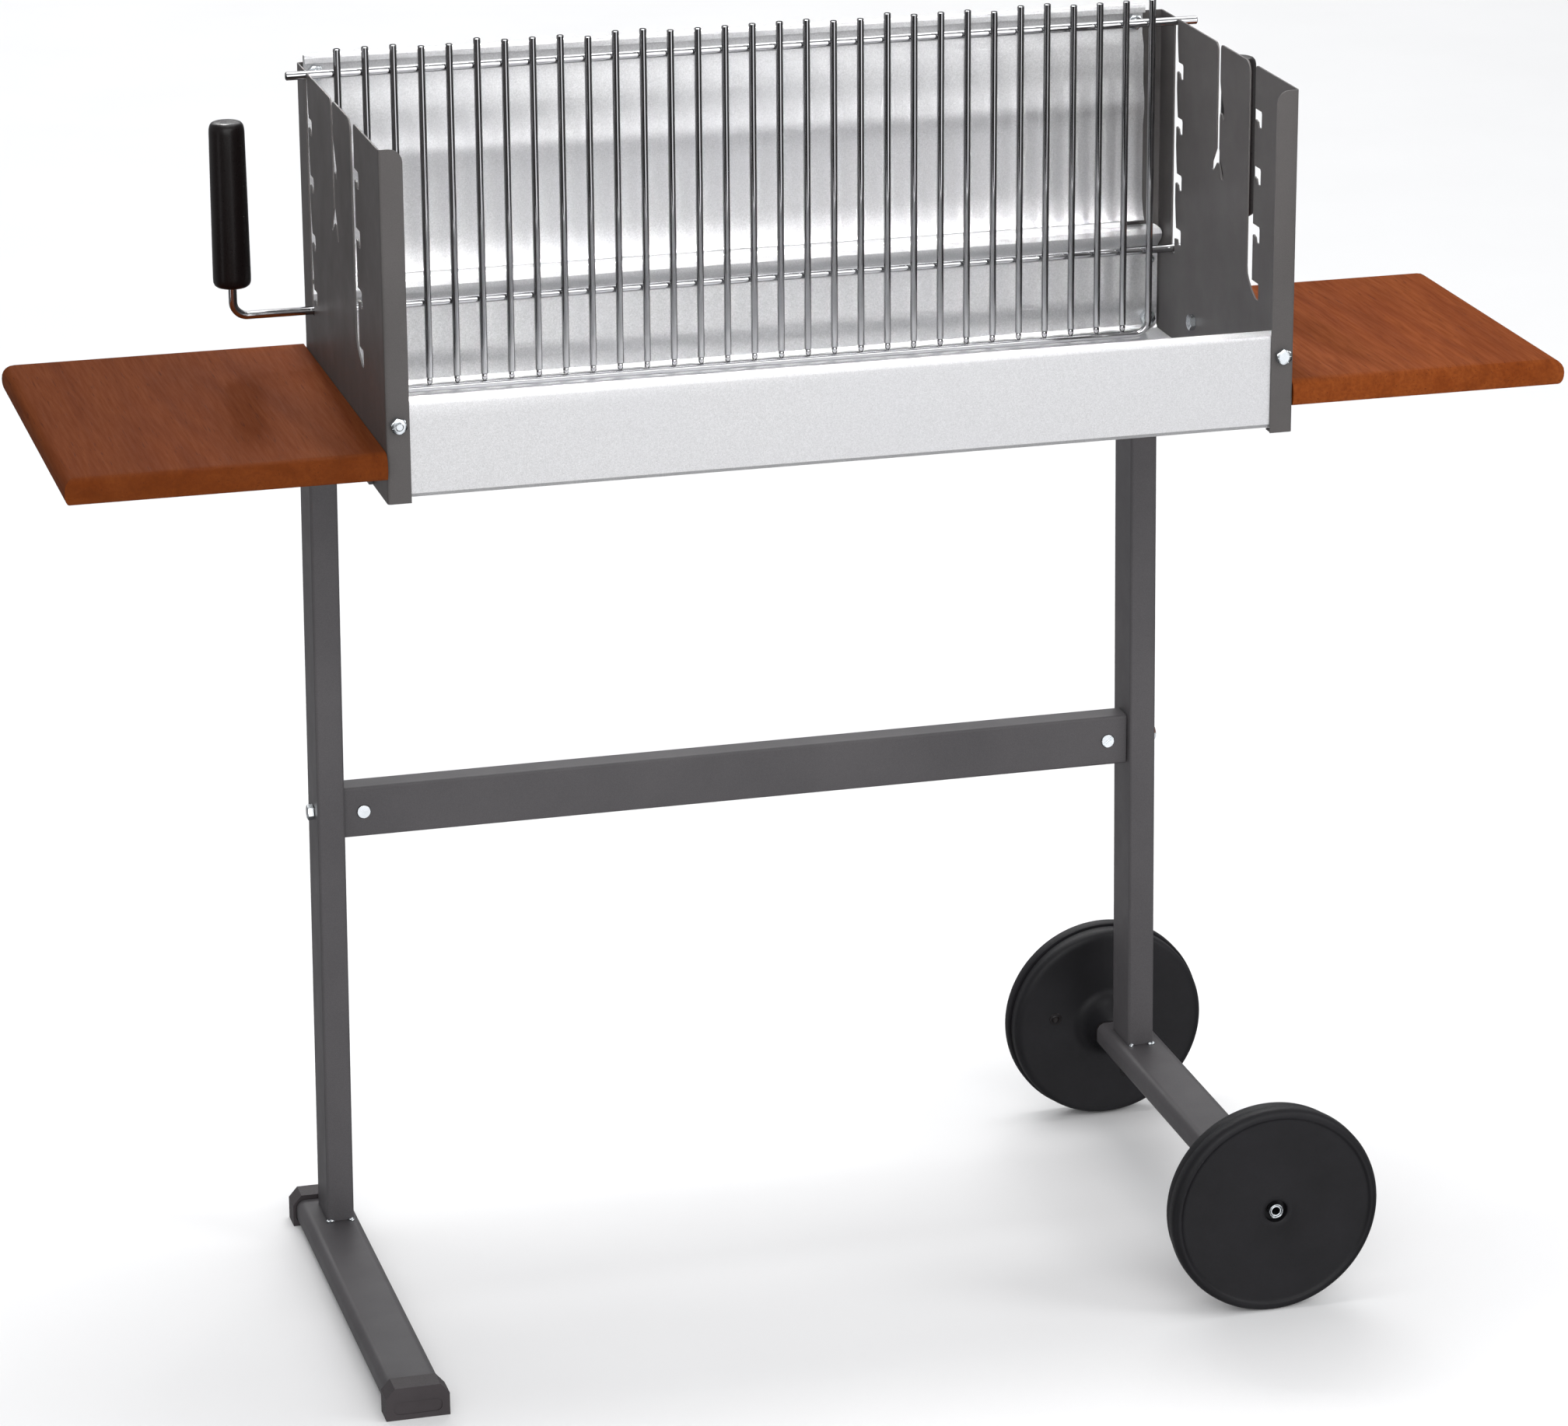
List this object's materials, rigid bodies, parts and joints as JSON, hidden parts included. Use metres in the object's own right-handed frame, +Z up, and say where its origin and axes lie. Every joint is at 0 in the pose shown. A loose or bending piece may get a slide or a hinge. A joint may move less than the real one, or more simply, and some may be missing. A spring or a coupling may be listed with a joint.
{
  "type": "charcoal grill trolley",
  "caption": "Open box charcoal grill with hook-in grate, wooden side shelves and a two-legged frame on wheels.",
  "frame": {"origin": "on the floor under the middle of the whole object", "axes": "+Z up, +X to the right along the grill, -Y towards the cook at the front"},
  "size_m": [1.042, 0.41, 0.9076],
  "materials": {
    "panel_paint": "dark brown-grey heat-proof paint, low sheen",
    "frame_paint": "dark grey powder coat, low sheen",
    "aluminised_sheet": "fine matt speckle, soft sheen",
    "chrome_wire": "bright plating",
    "zinc": "bright zinc plating",
    "black_plastic": "satin black",
    "wheel_plastic": "fine satin grain",
    "shelf_wood": "red-brown stain, open grain"
  },
  "bodies": {
    "trolley": {"side_panel_left": "panel_paint", "side_panel_right": "panel_paint", "leg_left": "frame_paint", "leg_right": "frame_paint", "crossbar": "frame_paint", "foot_tube": "frame_paint", "axle_tube": "frame_paint", "shelf_bracket_left_front": "frame_paint", "shelf_bracket_left_rear": "frame_paint", "shelf_bracket_right_front": "frame_paint", "shelf_bracket_right_rear": "frame_paint", "charcoal_tray": "aluminised_sheet", "back_plate": "aluminised_sheet", "crossbar_barrel_nut_left": "zinc", "crossbar_barrel_nut_right": "zinc", "crossbar_bolt_left": "zinc", "crossbar_bolt_right": "zinc", "axle_rod": "zinc", "wheel_front_lock_ring": "zinc", "wheel_rear_lock_ring": "zinc", "shelf_bolt_left_front": "zinc", "shelf_bolt_left_rear": "zinc", "shelf_bolt_right_front": "zinc", "shelf_bolt_right_rear": "zinc", "leg_bolt_left": "zinc", "leg_nut_left": "zinc", "leg_bolt_right": "zinc", "leg_nut_right": "zinc", "tray_screw_left": "zinc", "tray_screw_right": "zinc", "plate_bolt_left": "zinc", "plate_nut_left": "zinc", "plate_bolt_right": "zinc", "plate_nut_right": "zinc", "flange_bolt_left": "zinc", "flange_nut_left": "zinc", "flange_bolt_right": "zinc", "flange_nut_right": "zinc", "leg_plug_left": "black_plastic", "leg_plug_right": "black_plastic", "foot_cap_front": "black_plastic", "foot_cap_rear": "black_plastic", "axle_plug_front": "black_plastic", "axle_plug_rear": "black_plastic", "shelf_left": "shelf_wood", "shelf_right": "shelf_wood"},
    "grate": {"grate_bars": "chrome_wire", "grate_handle_wire": "chrome_wire", "grip_left": "black_plastic", "grip_right": "black_plastic"},
    "wheel_front": {"wheel_front_outer": "wheel_plastic", "wheel_front_inner": "wheel_plastic"},
    "wheel_rear": {"wheel_rear_outer": "wheel_plastic", "wheel_rear_inner": "wheel_plastic"}
  },
  "joints": [
    {"name": "grate_lift", "type": "slide", "parent": "trolley", "child": "grate", "axis": [0, 0, 1], "range_m": [0, 0.2]},
    {"name": "wheel_front_spin", "type": "hinge", "parent": "trolley", "child": "wheel_front", "pos_m": [0.319, -0.174, 0.0775], "axis": [0, 1, 0], "continuous": true},
    {"name": "wheel_rear_spin", "type": "hinge", "parent": "trolley", "child": "wheel_rear", "pos_m": [0.319, 0.178, 0.0775], "axis": [0, 1, 0], "continuous": true}
  ]
}
